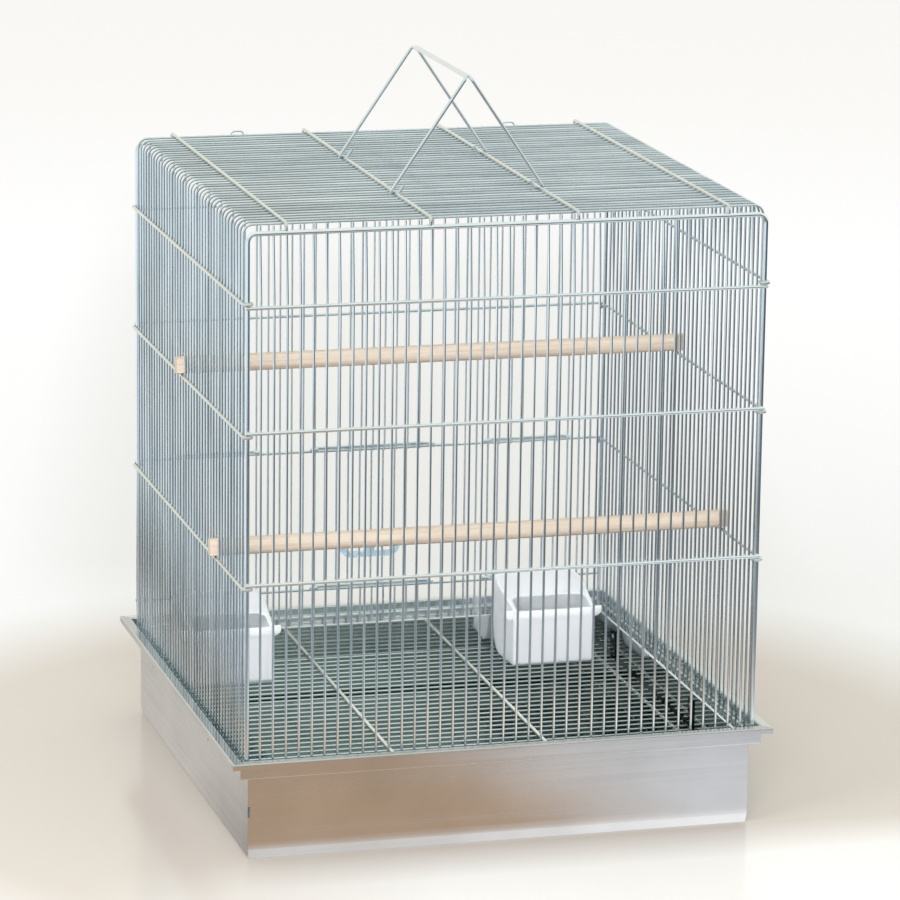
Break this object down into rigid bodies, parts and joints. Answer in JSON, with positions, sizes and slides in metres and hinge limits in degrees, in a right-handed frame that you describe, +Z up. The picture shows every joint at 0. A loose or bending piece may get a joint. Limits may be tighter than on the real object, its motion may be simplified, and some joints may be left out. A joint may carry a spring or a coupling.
{
  "type": "bird cage",
  "caption": "Square wire bird cage with lifting doors, perches, hooded feeder cups, a folding wire handle and a floor grate in a folded sheet-metal base tray.",
  "frame": {"origin": "centre of the base's underside", "axes": "+Z up, -Y towards the plain back wall, +Y towards the front wall with the three doors, +X to the right of someone who faces the back wall"},
  "size_m": [0.465, 0.465, 0.6271],
  "materials": {
    "galvanised_wire": "bright zinc-plated wire, lightly dulled",
    "base_sheet": "bright rolled sheet, satin outside and mirror-like on the rim and floor",
    "rivet_metal": "plain",
    "pull_plastic": "light blue translucent moulding",
    "perch_wood": "bare turned dowel",
    "cup_plastic": "white moulding, lightly glossy"
  },
  "bodies": {
    "base": {"base_floor": "base_sheet", "base_back_wall": "base_sheet", "base_front_wall": "base_sheet", "base_left_wall": "base_sheet", "base_right_wall": "base_sheet", "grate_brackets": "base_sheet", "bracket_rivets": "rivet_metal"},
    "grate": {"grate_wires": "galvanised_wire", "grate_bars": "galvanised_wire"},
    "cage": {"back_frame": "galvanised_wire", "back_wires": "galvanised_wire", "back_bars": "galvanised_wire", "front_frame": "galvanised_wire", "front_wires": "galvanised_wire", "front_bars": "galvanised_wire", "hoop_wires": "galvanised_wire", "left_side_bars": "galvanised_wire", "right_side_bars": "galvanised_wire", "roof_bars": "galvanised_wire", "front_eyes": "galvanised_wire"},
    "left_bail": {"left_bail": "galvanised_wire"},
    "right_bail": {"right_bail": "galvanised_wire"},
    "left_door": {"left_door_bars": "galvanised_wire", "left_door_wires": "galvanised_wire"},
    "centre_door": {"centre_door_bars": "galvanised_wire", "centre_door_wires": "galvanised_wire", "door_pull": "pull_plastic"},
    "right_door": {"right_door_bars": "galvanised_wire", "right_door_wires": "galvanised_wire"},
    "upper_perch": {"upper_perch": "perch_wood"},
    "lower_perch": {"lower_perch": "perch_wood"},
    "left_cup": {"left_cup": "cup_plastic"},
    "right_cup": {"right_cup": "cup_plastic"}
  },
  "joints": [
    {"name": "cage_lift", "type": "slide", "parent": "base", "child": "cage", "axis": [0, 0, 1], "range_m": [0, 0.15]},
    {"name": "grate_lift", "type": "slide", "parent": "base", "child": "grate", "axis": [0, 0, 1], "range_m": [0, 0.028]},
    {"name": "left_bail_hinge", "type": "hinge", "parent": "cage", "child": "left_bail", "pos_m": [-0.06714, 0, 0.5315], "axis": [0, -1, 0], "range_deg": [0, 120]},
    {"name": "right_bail_hinge", "type": "hinge", "parent": "cage", "child": "right_bail", "pos_m": [0.05712, 0, 0.5315], "axis": [0, 1, 0], "range_deg": [0, 120]},
    {"name": "left_door_slide", "type": "slide", "parent": "cage", "child": "left_door", "axis": [0, 0, 1], "range_m": [0, 0.12]},
    {"name": "centre_door_slide", "type": "slide", "parent": "cage", "child": "centre_door", "axis": [0, 0, 1], "range_m": [0, 0.12]},
    {"name": "right_door_slide", "type": "slide", "parent": "cage", "child": "right_door", "axis": [0, 0, 1], "range_m": [0, 0.12]},
    {"name": "upper_perch_lift", "type": "slide", "parent": "cage", "child": "upper_perch", "axis": [0, 0, 1], "range_m": [0, 0.09]},
    {"name": "lower_perch_lift", "type": "slide", "parent": "cage", "child": "lower_perch", "axis": [0, 0, 1], "range_m": [0, 0.105]},
    {"name": "left_cup_lift", "type": "slide", "parent": "grate", "child": "left_cup", "axis": [0, 0, 1], "range_m": [0, 0.06]},
    {"name": "right_cup_lift", "type": "slide", "parent": "grate", "child": "right_cup", "axis": [0, 0, 1], "range_m": [0, 0.06]}
  ]
}
